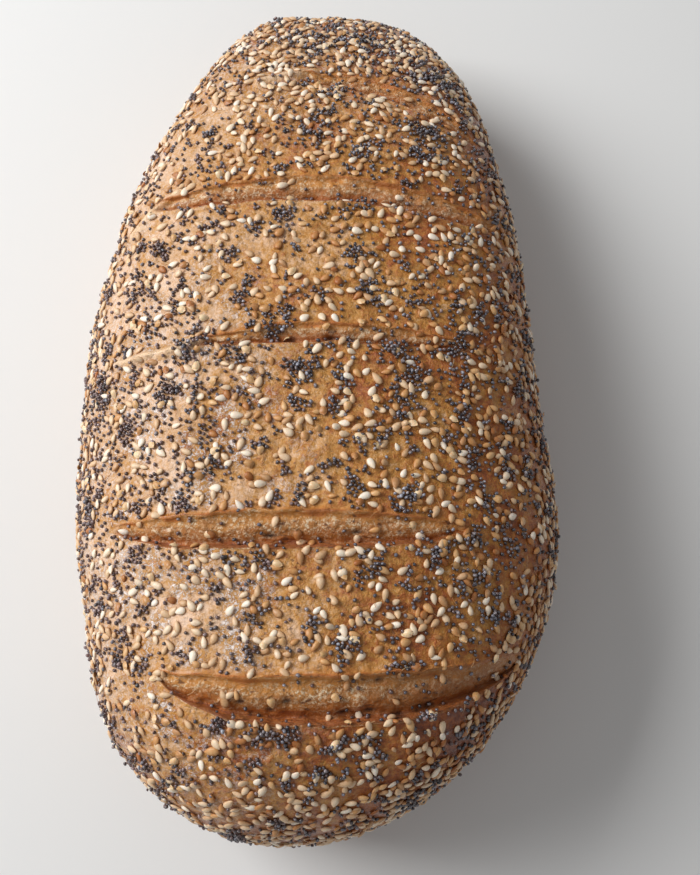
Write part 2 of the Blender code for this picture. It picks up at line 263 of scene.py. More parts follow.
def ring_rules():
    """One rule for each ring, from the near end: y as a function of x, its score, and how far across it."""
    rules = []

    def plain(low, high, count, easing=lambda share: share):
        for step in range(1, count + 1):
            rules.append((partway(low, high, easing(step / (count + 1))), None, 0.0))

    near = [functools.partial(near_line, row) for row in range(len(SCORES))]
    far = [functools.partial(far_line, row) for row in range(len(SCORES))]
    near_shoulder = [lambda x, line=line: line(x) - SHOULDER_WIDTH for line in near]
    far_shoulder = [lambda x, line=line: line(x) + SHOULDER_WIDTH for line in far]
    near_end = functools.partial(np.full_like, fill_value=-LENGTH / 2)
    far_end = functools.partial(np.full_like, fill_value=LENGTH / 2)
    plain(near_end, near_shoulder[0], RINGS_AT_NEAR_END, lambda s: math.sin(s * math.pi / 2) ** 2)
    for row, score in enumerate(SCORES):
        plain(near_shoulder[row], near[row], RINGS_ON_SHOULDER)
        for step in range(RINGS_IN_SCORE):
            along = 1.0 - step / (RINGS_IN_SCORE - 1)
            rules.append((partway(far[row], near[row], along), score, along))
        plain(far[row], far_shoulder[row], RINGS_ON_SHOULDER)
        if row + 1 < len(SCORES):
            plain(far_shoulder[row], near_shoulder[row + 1], RINGS_BETWEEN[row])
    plain(far_shoulder[-1], far_end, RINGS_AT_FAR_END, lambda s: math.sin(s * math.pi / 2))
    return rules


def even_angles():
    """Angles round the loaf, evenly spaced along the skin, closer on the top than on the foot."""

    def spread(start, end, count, height, power):
        fine = np.linspace(start, end, SPACING_STEPS)
        x = 0.5 * np.sign(np.cos(fine)) * np.abs(np.cos(fine)) ** (2.0 / SQUARENESS)
        z = height * np.abs(np.sin(fine)) ** power
        walked = np.concatenate([[0.0], np.cumsum(np.hypot(np.diff(x), np.diff(z)))])
        return np.interp(np.linspace(0.0, walked[-1], count, endpoint=False), walked, fine)

    upper = spread(0.0, math.pi, TOP_SEGMENTS, UPPER_RISE, 2.0 / SQUARENESS)
    return np.concatenate([upper, spread(math.pi, 2.0 * math.pi, FOOT_SEGMENTS, FOOT_DROP, FOOT_ROUNDING)])


def noise_at(points, size, shift=0.0):
    """Smooth noise from -1 to 1 at each point, with features of this size."""
    offset = Vector((shift, shift, shift))
    values = [noise.noise(Vector(place) + offset) for place in points.reshape(-1, 3) / size]
    return np.array(values).reshape(points.shape[:-1])


def normals_of(grid):
    """Outward unit normals of a grid of rings, whose rings close on themselves."""
    along = np.gradient(grid, axis=0)
    round_ring = np.roll(grid, -1, axis=1) - np.roll(grid, 1, axis=1)
    normal = np.cross(along, round_ring)
    return normal / np.maximum(np.linalg.norm(normal, axis=-1, keepdims=True), 1e-12)


def far_from_line(x, y, line):
    """Distance from each point to a bent line of (x, y) points given in millimetres."""
    nearest = np.full(x.shape, np.inf)
    for (ax, ay), (bx, by) in zip(np.array(line[:-1]) * MM, np.array(line[1:]) * MM):
        run = (bx - ax) ** 2 + (by - ay) ** 2
        share = np.clip(((x - ax) * (bx - ax) + (y - ay) * (by - ay)) / run, 0.0, 1.0)
        nearest = np.minimum(nearest, np.hypot(x - ax - share * (bx - ax), y - ay - share * (by - ay)))
    return nearest


@functools.lru_cache(maxsize=1)
def crust_surface():
    """The crust: its points, a row to each ring, their normals and zones, and the shift that centred it."""
    angles = even_angles()
    across, upward = np.cos(angles), np.sin(angles)
    follow = np.clip(FOLLOW_RISE * upward + FOLLOW_AT_GIRTH, 0.0, 1.0)
    rows, opened, along, width = [], [], [], []
    for line, score, share in ring_rules():
        even_y = float(line(np.zeros(1))[0])
        y = np.full(len(angles), even_y)
        for _ in range(FOLLOW_PASSES):
            crest, left_reach, right_reach, rise, foot = section(y)
            reach = np.where(across > 0, right_reach, left_reach)
            x = crest + np.sign(across) * reach * np.abs(across) ** (2.0 / SQUARENESS)
            y = even_y + follow * (line(x) - even_y)
        top = GIRTH_HEIGHT + rise * np.maximum(upward, 0.0) ** (2.0 / SQUARENESS)
        low = np.maximum(GIRTH_HEIGHT - foot * np.maximum(-upward, 0.0) ** FOOT_ROUNDING, 0.0)
        rows.append(np.stack([x, y, np.where(upward >= 0, top, low)], axis=-1))
        opened.append(openness(score, x) * (upward > 0) if score else 0.0 * x)
        along.append(0.0 * x + (share if score else -1.0))
        width.append(0.0 * x + (score[3] if score else 0.0))
    return finish_surface(np.array(rows), np.array(opened), np.array(along), np.array(width))


def marks_of(x, y, on_top):
    """How strongly the lips, the closed ridges and the pits show at each point, from 0 to 1."""
    lip, ridge, pit = np.zeros((3, *x.shape))
    for score in SCORES:
        beyond = y - far_edge(score, x)
        lip = np.maximum(lip, bell(beyond, 0.0, LIP_WIDTH) * openness(score, x) ** 0.5)
    for line in RIDGES:
        ridge = np.maximum(ridge, bell(far_from_line(x, y, line), 0.0, RIDGE_WIDTH))
    for pit_x, pit_y, half_length, half_width in np.array(PITS) * MM:
        outwards = ((x - pit_x) / half_length) ** 2 + ((y - pit_y) / half_width) ** 2
        pit = np.maximum(pit, np.exp(-outwards))
    return {"lip": lip * on_top, "ridge": ridge * on_top, "pit": pit * on_top}


def finish_surface(grid, opened, along, width):
    """Adds the relief to the smooth loaf, centres it along x and keeps it inside the plain loaf's box."""
    x, y = grid[..., 0], grid[..., 1]
    outward = normals_of(grid)
    outward[..., 2] = np.maximum(outward[..., 2], 0.0)
    free = np.clip(grid[..., 2] / GIRTH_HEIGHT, 0.0, 1.0)
    marks = marks_of(x, y, grid[..., 2] > GIRTH_HEIGHT)
    lumps = LUMP_HEIGHT * noise_at(grid, LUMP_SIZE)
    ripples = RIPPLE_HEIGHT * noise_at(grid, RIPPLE_SIZE, shift=11.0)
    grain = GRAIN_HEIGHT * noise_at(grid, GRAIN_SIZE, shift=23.0)
    blisters = BLISTER_HEIGHT * np.maximum(noise_at(grid, BLISTER_SIZE, shift=41.0) - BLISTER_FROM, 0.0)
    floor = opened * (along > CRUMB_FROM) * (along < CRUMB_TO)
    drawn_out = grid * np.array([CRUMB_STRETCH, 1.0, 1.0])
    crumb = CRUMB_HEIGHT * (np.abs(noise_at(drawn_out, CRUMB_SIZE, shift=31.0)) - CRUMB_MIDDLE) * floor
    height = (lumps + ripples + grain + blisters - INSET) * free + crumb + RIDGE_HEIGHT * marks["ridge"]
    depth = np.where(along >= 0.0, np.interp(along, PROFILE_ALONG, PROFILE_DEPTH), 0.0)
    grid = grid + outward * height[..., None]
    grid[..., 2] -= depth * SCORE_DEPTH * width * opened + PIT_DEPTH * marks["pit"]
    grid[..., 2] = np.maximum(grid[..., 2], 0.0)
    middle = (x.min() + x.max()) / 2
    grid[..., 0] -= middle
    half_box = (CAD_HIGH - CAD_LOW)[:2] / 2 - BOX_MARGIN
    grid[..., :2] *= np.minimum(half_box / np.abs(grid[..., :2]).max(axis=(0, 1)), 1.0)
    zones = {
        "score_floor": opened * (along >= 0.0),
        "score_across": np.where(along >= 0.0, along, 0.0),
        **marks,
    }
    return grid, normals_of(grid), zones, middle


def close_grid(name, grid):
    """A closed mesh from rings of points, with one more point at each end of the loaf."""
    rings, segments = grid.shape[:2]
    near_tip = (grid[0, :, 0].mean(), CAD_LOW[1] + BOX_MARGIN, GIRTH_HEIGHT)
    far_tip = (grid[-1, :, 0].mean(), CAD_HIGH[1] - BOX_MARGIN, GIRTH_HEIGHT)
    points = np.concatenate([grid.reshape(-1, 3), [near_tip], [far_tip]])
    number = np.arange(rings * segments).reshape(rings, segments)
    after = np.roll(number, -1, axis=1)
    quads = np.stack([number[1:], after[1:], after[:-1], number[:-1]], axis=-1).reshape(-1, 4)
    near_fan = np.stack([number[0], after[0], np.full(segments, rings * segments)], axis=-1)
    far_fan = np.stack([after[-1], number[-1], np.full(segments, rings * segments + 1)], axis=-1)
    mesh = bpy.data.meshes.new(name)
    mesh.from_pydata(points.tolist(), [], quads.tolist() + near_fan.tolist() + far_fan.tolist())
    mesh.shade_smooth()
    return mesh


def put(name, mesh, material):
    """A new object in the scene, riding on the loaf's body."""
    mesh.materials.append(material)
    piece = bpy.data.objects.new(name, mesh)
    bpy.context.scene.collection.objects.link(piece)
    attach(piece, "root")
    return piece


def add_values(mesh, name, values):
    attribute = mesh.attributes.new(name, "FLOAT", "POINT")
    attribute.data.foreach_set("value", np.asarray(values, dtype=np.float32))


class Nodes:
    """Short helpers for building one material's nodes."""

    def __init__(self, name):
        self.material = bpy.data.materials.new(name)
        self.material.use_nodes = True
        self.tree = self.material.node_tree
        self.shader = self.tree.nodes["Principled BSDF"]
        self.place = self.tree.nodes.new("ShaderNodeTexCoord").outputs["Object"]

    def add(self, kind, inputs=(), **settings):
        node = self.tree.nodes.new(kind)
        for name, value in settings.items():
            setattr(node, name, value)
        for key, value in dict(inputs).items():
            self.feed(node.inputs[key], value)
        return node

    def feed(self, socket, value):
        if isinstance(value, bpy.types.NodeSocket):
            self.tree.links.new(value, socket)
        else:
            socket.default_value = value

    def stretched(self, factors):
        """The place in the loaf, scaled along each axis, so that a texture runs lengthwise."""
        return self.add("ShaderNodeMapping", {"Vector": self.place, "Scale": factors}).outputs["Vector"]

    def noise(self, scale, detail=3.0, roughness=0.55, place=None, swirl=0.0):
        inputs = {"Vector": place or self.place, "Scale": scale, "Detail": detail, "Roughness": roughness}
        return self.add("ShaderNodeTexNoise", {**inputs, "Distortion": swirl}).outputs["Fac"]

    def cells(self, scale):
        inputs = {"Vector": self.place, "Scale": scale}
        return self.add("ShaderNodeTexVoronoi", inputs).outputs["Distance"]

    def value(self, name):
        return self.add("ShaderNodeAttribute", attribute_name=name).outputs["Fac"]

    def joined(self, operation, first, *others):
        """The values joined one after another by one operation."""
        for other in others:
            node = self.add("ShaderNodeMath", operation=operation)
            self.feed(node.inputs[0], first)
            self.feed(node.inputs[1], other)
            first = node.outputs[0]
        return first

    def plus(self, *values):
        return self.joined("ADD", *values)

    def times(self, *values):
        return self.joined("MULTIPLY", *values)

    def span(self, value, low, high, to_low=0.0, to_high=1.0):
        inputs = {"Value": value, "From Min": low, "From Max": high, "To Min": to_low, "To Max": to_high}
        return self.add("ShaderNodeMapRange", inputs, clamp=True).outputs[0]

    def wavering(self, noise, amount):
        """A noise texture made into a shift of up to this amount either way."""
        return self.span(noise, 0.3, 0.7, -amount, amount)

    def mix(self, share, first, second):
        node = self.add("ShaderNodeMix", data_type="RGBA")
        for socket, value in zip((node.inputs[0], node.inputs[6], node.inputs[7]), (share, first, second)):
            self.feed(socket, value)
        return node.outputs[2]

    def ramp(self, value, stops):
        """A colour for each value, from (place, colour) stops."""
        node = self.add("ShaderNodeValToRGB", {"Fac": value})
        steps = node.color_ramp.elements
        while len(steps) < len(stops):
            steps.new(1.0)
        for step, (place, colour) in zip(steps, stops):
            step.position = place
            step.color = opaque(colour)
        return node.outputs["Color"]

    def finish(self, inputs):
        """The material, with these values or nodes in its shader's sockets."""
        for name, value in inputs.items():
            self.feed(self.shader.inputs[name], value)
        return self.material

    def bump(self, height, strength, distance):
        inputs = {"Height": height, "Strength": strength, "Distance": distance}
        return self.add("ShaderNodeBump", inputs).outputs["Normal"]


def linear(red, green, blue):
    """A colour given as it looks on a screen, from 0 to 255, made linear."""
    parts = [part / 255 for part in (red, green, blue)]
    return tuple(p / 12.92 if p <= 0.04045 else ((p + 0.055) / 1.055) ** 2.4 for p in parts) + (1.0,)


def opaque(colour):
    return tuple(colour)[:3] + (1.0,)


def stops_of(*stops):
    """Stops of a colour ramp, each given as its place and then its colour as it looks on a screen."""
    return tuple((place, linear(*colour)) for place, *colour in stops)


# The kinds of seeds and flakes, each with the colours that its tones run through.
SESAME_KINDS = {
    "sesame_ivory": stops_of((0.0, 250, 238, 222), (0.55, 240, 216, 186), (1.0, 216, 176, 134)),
    "sesame_honey": stops_of((0.0, 240, 214, 182), (0.5, 222, 184, 142), (1.0, 188, 136, 88)),
    "sesame_toasted": stops_of((0.0, 230, 188, 136), (0.5, 206, 150, 92), (1.0, 168, 100, 48)),
}
POPPY_KINDS = {
    "poppy_blue": stops_of((0.0, 54, 50, 55), (0.4, 86, 82, 91), (0.8, 128, 127, 138), (1.0, 188, 188, 198)),
    "poppy_grey": stops_of((0.0, 62, 52, 53), (0.4, 96, 84, 85), (0.8, 136, 126, 129), (1.0, 188, 180, 184)),
    "poppy_brown": stops_of((0.0, 74, 53, 50), (0.5, 112, 86, 83), (1.0, 164, 140, 138)),
}
HULL_TONES = stops_of((0.0, 240, 212, 172), (0.5, 210, 162, 106), (1.0, 172, 108, 58))
# The crumb's colours from a score's far edge to its near edge, the groove near the near edge dark partly
# from browning and partly as painted shade, then those of the crust's small features.
CRUMB_TONES = stops_of(
    (0.0, 200, 116, 42),
    (0.07, 206, 132, 50),
    (0.22, 206, 136, 54),
    (0.42, 180, 116, 50),
    (0.62, 180, 108, 34),
    (0.82, 180, 98, 18),
    (0.93, 142, 66, 6),
    (1.0, 160, 90, 20),
)
# Of these, the holes, the pits and the crevices are painted shade, the films carry painted glints and the
# ridge's pale tone a painted highlight.
BROWNED_CRUMB, FILM_AND_GLINT_TONE, PAINTED_HOLE_SHADE = linear(160, 86, 22), linear(252, 230, 192), linear(94, 48, 16)
SPECK_TONE, RIDGE_TONE_AND_HIGHLIGHT, PAINTED_PIT_SHADE = linear(104, 56, 24), linear(252, 216, 174), linear(44, 20, 8)
PAINTED_CREVICE_SHADE, SHEEN_TONE = linear(128, 66, 12), linear(255, 238, 226)
# How far the crust has browned where each of its four colours is purest.
BROWNING_STOPS = (0.05, 0.4, 0.72, 1.0)


def crust_tones(n, colours, fine, middling, glints):
    """The crust outside the scores: browning and painted shade, with specks, pale flecks of painted glints,
    lips and ridges.
    """
    browning_and_shade = n.plus(
        n.value("browning_and_shade"),
        n.wavering(n.noise(70.0, detail=4.0), 0.16),
        n.wavering(middling, 0.2),
        n.wavering(fine, 0.16),
        n.times(n.value("painted_glint"), 0.14),
    )
    tones = (colours.crust_pale, colours.crust_golden, colours.crust_amber, colours.crust_dark)
    crust = n.ramp(browning_and_shade, tuple(zip(BROWNING_STOPS, tones)))
    specks = n.span(n.noise(680.0), 0.62, 0.7)
    crust = n.mix(n.times(specks, 0.7), crust, SPECK_TONE)
    # Painted glints: pale flecks of colour where the light from the left would glint.
    crust = n.mix(glints, crust, opaque(colours.painted_glint))
    lip = n.times(n.value("lip"), n.span(middling, 0.3, 0.6, 0.4, 0.8))
    crust = n.mix(lip, crust, opaque(colours.lip))
    # The closed ridges' pale crest is partly the thin crust's own colour and partly a painted highlight.
    ridge = n.times(n.value("ridge"), n.span(fine, 0.35, 0.6, 0.1, 1.0))
    return n.mix(ridge, crust, RIDGE_TONE_AND_HIGHLIGHT)


def crumb_tones(n, torn):
    """The floor of the scores: golden crumb, dark grooves partly of painted shade, torn pale films with
    painted glints, painted dark holes.
    """
    fibres = n.noise(420.0, detail=4.0, roughness=0.65, place=n.stretched((0.22, 1.0, 1.0)))
    across = n.plus(n.value("score_across"), n.wavering(fibres, 0.22))
    # The pale films also stand in for glints, as painted highlights.
    films_and_glints = n.times(
        n.span(torn, 0.5, 0.58),
        n.span(across, 0.02, 0.25),
        n.span(across, 0.85, 0.6),
        n.span(n.noise(160.0), 0.35, 0.55, 0.4, 1.0),
        n.span(n.value("browning_and_shade"), 0.45, 0.8, 1.0, 0.25),
    )
    browned = n.span(n.value("browning_and_shade"), 0.4, 0.85, 0.0, 0.65)
    crumb = n.mix(browned, n.ramp(across, CRUMB_TONES), BROWNED_CRUMB)
    crumb = n.mix(n.times(films_and_glints, 0.85), crumb, FILM_AND_GLINT_TONE)
    # Painted shade: the holes are dark colour only, not sunk into the crust.
    holes = n.noise(560.0, detail=2.0, roughness=0.5, place=n.stretched((0.6, 1.0, 1.0)))
    return n.mix(n.times(n.span(holes, 0.38, 0.31), 0.75), crumb, PAINTED_HOLE_SHADE)


def crust_relief(n, fine, middling, torn, glints):
    """Heights for the crust's bump: grain, soft waves, small dimples, and rough floors in the scores."""
    waves = n.times(n.noise(150.0, detail=2.0), 2.2)
    height = n.plus(n.times(middling, 0.7), n.times(fine, 0.6), waves)
    height = n.joined("SUBTRACT", height, n.times(n.cells(430.0), 0.35))
    rough_floor = n.times(n.value("score_floor"), torn, 0.3)
    return n.plus(height, rough_floor, n.times(glints, 0.08))


def crust_material(colours):
    """Baked crust, with golden crumb and dark grooves in the scores, and painted shade in its crevices."""
    n = Nodes("baked_crust")
    fine = n.noise(1100.0, detail=4.0, roughness=0.7)
    middling = n.noise(330.0, detail=4.0, roughness=0.65)
    torn = n.noise(1000.0, detail=6.0, roughness=0.8, swirl=0.5)
    # Painted glints: where the crust is marked for them, pale flecks of colour and a smoother gloss.
    glint_pattern = n.span(n.noise(900.0, detail=6.0, roughness=0.8, swirl=1.0), 0.49, 0.56)
    glints = n.times(n.value("painted_glint"), glint_pattern)
    in_score = n.span(n.value("score_floor"), 0.05, 0.4)
    colour = n.mix(in_score, crust_tones(n, colours, fine, middling, glints), crumb_tones(n, torn))
    # Painted shade inside the sunk pits.
    colour = n.mix(n.value("pit"), colour, PAINTED_PIT_SHADE)
    # Painted shade: the colour warms and darkens in crevices and around the seeds, found by an occlusion
    # node.
    crevice_shade = n.add("ShaderNodeAmbientOcclusion", {"Distance": 0.0018}, samples=4).outputs["AO"]
    dull = n.span(fine, 0.35, 0.65, 0.3, 0.6)
    relief = crust_relief(n, fine, middling, torn, glints)
    return n.finish(
        {
            "Base Color": n.mix(n.span(crevice_shade, 0.7, 0.2, 0.0, 0.5), colour, PAINTED_CREVICE_SHADE),
            "Roughness": n.joined("SUBTRACT", dull, n.times(glints, 0.2)),
            "Normal": n.bump(relief, strength=1.0, distance=0.0010),
            "Specular IOR Level": 0.6,
            "Coat Weight": 0.25,
            "Coat Roughness": 0.18,
            "Sheen Weight": 0.05,
            "Sheen Roughness": 0.5,
            "Sheen Tint": SHEEN_TONE,
        }
    )


def seed_material(name, stops, roughness, bumpiness, shine=0.5, glow=0.0, painted_rim=0.0):
    """Seeds of one kind: each seed's tone picks its colour, shifted darker at its rim as painted shade,
    under a fine mottle.
    """
    n = Nodes(name)
    mottle = n.wavering(n.noise(1500.0), 0.12)
    # Painted shade: the tone shifts darker towards the seed's rim.
    tone = n.plus(n.value("tone"), mottle, n.times(n.value("painted_rim"), painted_rim))
    return n.finish(
        {
            "Base Color": n.ramp(tone, stops),
            "Roughness": roughness,
            "Normal": n.bump(n.noise(2600.0), strength=bumpiness, distance=0.0003),
            "Specular IOR Level": shine,
            "Subsurface Weight": glow,
            "Subsurface Radius": (0.0012, 0.0007, 0.0004),
        }
    )


def browning_and_shade_of(grid):
    """How far each point of the crust has browned, from 0, pale, to 1, dark; its rise to the right and at
    the near right is partly painted shade.
    """
    x, y, z = grid[..., 0], grid[..., 1], grid[..., 2]
    # Painted shade, in part: the crust darkens to the right and most at the near right, away from the light.
    right = growing(x, start=-0.062, run=0.125)
    near = growing(-y, start=0.07, run=0.05)
    browning_and_shade = 0.12 + 0.6 * right + 0.24 * near + 0.18 * near * right
    browning_and_shade = browning_and_shade + 0.16 * noise_at(grid, 0.03, shift=47.0)
    underside = growing(-z, start=-UNDERSIDE_TOP, run=UNDERSIDE_TOP)
    return browning_and_shade * (1 - underside) + UNDERSIDE_BROWNING * underside


def painted_glint_of(grid):
    """Where the crust shows painted glints as pale flecks: in patches on its left shoulder, fewer at its
    left and far end.
    """
    x, y, z = grid[..., 0], grid[..., 1], grid[..., 2]
    shoulder = 1.6 * bell(x, -0.030, 0.021) * bell(y, -0.04, 0.055)
    patches = np.clip(noise_at(grid, 0.008, shift=53.0) * 3.2 + 0.3, 0.0, 1.0)
    far = 0.4 * growing(y, start=0.06, run=0.04)
    painted_rim = 0.25 * growing(-x, start=0.035, run=0.02)
    left = 0.25 * growing(-x, start=-0.01, run=0.06)
    return np.clip(left + shoulder * patches * (z > GIRTH_HEIGHT) + far + painted_rim, 0.0, 1.0)


def spread_over(draw, grid, normals, weight, count):
    """Random places on the crust with their normals, more of them where the weight is high."""
    segments = grid.shape[1]
    after = np.roll(grid, -1, axis=1)
    area = np.linalg.norm(np.cross(after[:-1] - grid[:-1], grid[1:] - grid[:-1]), axis=-1)
    chance = (area * weight[:-1]).reshape(-1)
    picked = draw.choice(len(chance), size=count, p=chance / chance.sum())
    row, column = np.divmod(picked, segments)
    nxt = (column + 1) % segments
    a, b = draw.random((2, count, 1))

    def between(values):
        low = values[row, column] * (1 - a) + values[row, nxt] * a
        high = values[row + 1, column] * (1 - a) + values[row + 1, nxt] * a
        return low * (1 - b) + high * b

    normal = between(normals)
    return between(grid), normal / np.linalg.norm(normal, axis=-1, keepdims=True)


@functools.lru_cache(maxsize=1)
def crust_tree():
    """A search tree over the crust's points, for laying things on the nearest one."""
    points = crust_surface()[0].reshape(-1, 3)
    tree = kdtree.KDTree(len(points))
    for number, point in enumerate(points):
        tree.insert(point, number)
    tree.balance()
    return tree


def drop_on(places):
    """Each place moved onto the crust's skin near it, with the skin's normal."""
    grid, normals = crust_surface()[:2]
    found = np.array([crust_tree().find(place)[1] for place in places])
    foot, normal = grid.reshape(-1, 3)[found], normals.reshape(-1, 3)[found]
    above = np.sum((places - foot) * normal, axis=1, keepdims=True)
    return places - above * normal, normal


def thin_out(places, distance):
    """Which places to keep, so that none lies closer than the distance to one kept before it."""
    table, kept = {}, np.zeros(len(places), dtype=bool)
    steps = [(i, j, k) for i in (-1, 0, 1) for j in (-1, 0, 1) for k in (-1, 0, 1)]
    cells = np.floor(places / distance).astype(int).tolist()
    for number, (place, (i, j, k)) in enumerate(zip(places.tolist(), cells)):
        others = (other for a, b, c in steps for other in table.get((i + a, j + b, k + c), ()))
        if any(math.dist(place, other) < distance for other in others):
            continue
        kept[number] = True
        table.setdefault((i, j, k), []).append(place)
    return kept


def gaps_to(places, others):
    """How far each place is from the nearest of the others."""
    tree = kdtree.KDTree(len(others))
    for number, other in enumerate(others):
        tree.insert(other, number)
    tree.balance()
    return np.array([tree.find(place)[2] for place in places])


def round_form(sides, bands, blunt_power=0.5, sharp_power=0.5):
    """Points and triangles of a closed round form of unit length. A higher power sharpens its end."""
    along = -np.cos(np.pi * np.arange(1, bands) / bands)
    radius = (1 + along) ** blunt_power * (1 - along) ** sharp_power
    radius *= 0.5 / radius.max()
    turn = 2 * np.pi * np.arange(sides) / sides
    rings = [(a / 2, r * math.cos(t), r * math.sin(t)) for a, r in zip(along, radius) for t in turn]
    points = np.array([(-0.5, 0.0, 0.0), *rings, (0.5, 0.0, 0.0)])
    faces, last = [], len(points) - 1
    for side in range(sides):
        nxt = (side + 1) % sides
        faces += [(0, 1 + nxt, 1 + side), (last, last - sides + side, last - sides + nxt)]
        for band in range(bands - 2):
            a, b = 1 + band * sides + side, 1 + band * sides + nxt
            faces += [(a, b, b + sides), (a, b + sides, a + sides)]
    return points, np.array(faces)


def teardrop():
    """A sesame seed of unit size: blunt at one end, pointed at the other, and flatter below."""
    points, faces = round_form(8, 6, 0.5, 0.8)
    points[:, 2] *= np.where(points[:, 2] < 0, 0.75, 1.0)
    return points, faces


def kidney():
    """A poppy seed of unit size: round, a little longer than wide, with a dent in one side."""
    points, faces = round_form(6, 4)
    points[:, 1] -= 0.4 * (0.25 - points[:, 0] ** 2)
    return points, faces


def shell():
    """An empty sesame hull of unit length: a thin open half of a teardrop, curled at its edge."""
    rows, columns = 6, 5
    points = []
    for a in np.linspace(-1, 1, rows):
        half = 0.5 * (1 + a) ** 0.5 * (1 - a) ** 0.8 / 1.03 if abs(a) < 1 else 0.0
        for b in np.linspace(-1, 1, columns):
            points.append((a / 2, half * b, half * (1 - b * b) + 0.16 * abs(b) ** 3))
    faces = []
    for row in range(rows - 1):
        for column in range(columns - 1):
            a = row * columns + column
            faces += [(a, a + columns, a + columns + 1), (a, a + columns + 1, a + 1)]
    return np.array(points), np.array(faces)


def strand():
    """A thin bent fibre of unit length."""
    steps, sides = 6, 3
    points = []
    for place in np.linspace(-0.5, 0.5, steps + 1):
        bend, lift, radius = 0.5 * (0.25 - place**2), 0.12 * (0.25 - place**2), 0.017
        for turn in (2 * math.pi * side / sides for side in range(sides)):
            points.append((place, bend + radius * math.cos(turn), lift + radius * math.sin(turn)))
    faces = []
    for row in range(steps):
        for side in range(sides):
            a, b = row * sides + side, row * sides + (side + 1) % sides
            faces += [(a, b, b + sides), (a, b + sides, a + sides)]
    return np.array(points), np.array(faces)


def lay(form, places, normals, turns, tilts, sizes):
    """The points of every copy of a form on the crust: turned about its normal, tilted, and stretched."""
    flat = np.where(np.abs(normals[:, 2:3]) < 0.95, [[0.0, 0.0, 1.0]], [[0.0, 1.0, 0.0]])
    side = np.cross(flat, normals)
    side /= np.linalg.norm(side, axis=1, keepdims=True)
    long_axis = side * np.cos(turns)[:, None] + np.cross(normals, side) * np.sin(turns)[:, None]
    short_axis = np.cross(normals, long_axis)
    up = normals * np.cos(tilts)[:, None] + long_axis * np.sin(tilts)[:, None]
    axes = np.stack([np.cross(short_axis, up), short_axis, up], axis=1)
    return places[:, None] + np.einsum("cpa,cax->cpx", form[0][None] * sizes[:, None, :], axes)


def scatter(name, material, slot, form, places, normals, turns, tilts, sizes, tones):
    """One piece with every copy of a form, leaving out copies that would leave the plain loaf's box."""
    world = lay(form, places, normals, turns, tilts, sizes)
    inside = np.all((world >= CAD_LOW) & (world <= CAD_HIGH), axis=(1, 2))
    world, tones = world[inside], tones[inside]
    faces = form[1][None] + (np.arange(len(world)) * len(form[0]))[:, None, None]
    mesh = bpy.data.meshes.new(name)
    mesh.from_pydata(world.reshape(-1, 3).tolist(), [], faces.reshape(-1, 3).tolist())
    mesh.shade_smooth()
    add_values(mesh, "tone", np.repeat(tones, world.shape[1]))
    # Painted shade: each copy darkens towards its rim, where its height above its middle is least.
    height = np.abs(form[0][:, 2])
    add_values(mesh, "painted_rim", np.tile(1.0 - height / height.max(), len(world)))
    put(name, mesh, material)


def seeded_share(grid, zones, on_floor, low_share):
    """A first weight for seeds: full above the girth, less below it, in the scores and on the ridges."""
    height = np.interp(grid[..., 2], SEEDED_HEIGHTS, (0.0, low_share, low_share, 1.0))
    in_scores = np.where(zones["score_floor"] > 0.25, on_floor, 1.0)
    return height * in_scores * (1.0 - 0.85 * zones["ridge"])


@functools.lru_cache(maxsize=1)
def sesame_places():
    """Where the sesame seeds lie, with their normals."""
    draw = np.random.default_rng(11)
    grid, normals, zones, _ = crust_surface()
    seeds = bpy.context.scene.loaf_seeds
    x, y = grid[..., 0], grid[..., 1]
    clumps = np.exp(1.3 * noise_at(grid, 0.013, shift=5.0))
    weight = clumps * (1.0 + 0.4 * growing(x, start=0.0, run=0.05, least=-0.6))
    near, far = growing(-y, start=0.085, run=0.03), growing(y, start=0.06, run=0.04)
    weight *= 1.0 + near + 1.5 * far
    weight *= seeded_share(grid, zones, on_floor=0.12, low_share=0.45)
    places, outward = spread_over(draw, grid, normals, weight, int(seeds.sesame_count * SESAME_OFFERED))
    kept = np.flatnonzero(thin_out(places, seeds.sesame_width * SESAME_SPACING))[: seeds.sesame_count]
    return places[kept], outward[kept]


def heap(draw, count, reach, size):
    """Flat places of one heap's seeds: each touches one that is there, and some lie on top of the others."""
    spots = [(0.0, 0.0)]
    while len(spots) < count:
        offers = []
        for _ in range(HEAP_OFFERS):
            x, y = spots[draw.integers(len(spots))]
            turn, step = draw.uniform(0, 2 * math.pi), size * draw.uniform(*HEAP_STEP)
            spot = (x + step * math.cos(turn), y + step * math.sin(turn))
            if all(math.dist(spot, other) >= CLOSEST_POPPY * size for other in spots):
                from_middle = math.hypot(spot[0] / reach[0], spot[1] / reach[1])
                offers.append((from_middle * draw.uniform(*HEAP_LOOSENESS), spot))
        if offers:
            spots.append(min(offers)[1])
    on_top = [spots[draw.integers(len(spots))] for _ in range(int(UPPER_SHARE * count))]
    stray = UPPER_STRAY * size
    return spots + [(x + draw.normal(0, stray), y + draw.normal(0, stray)) for x, y in on_top]


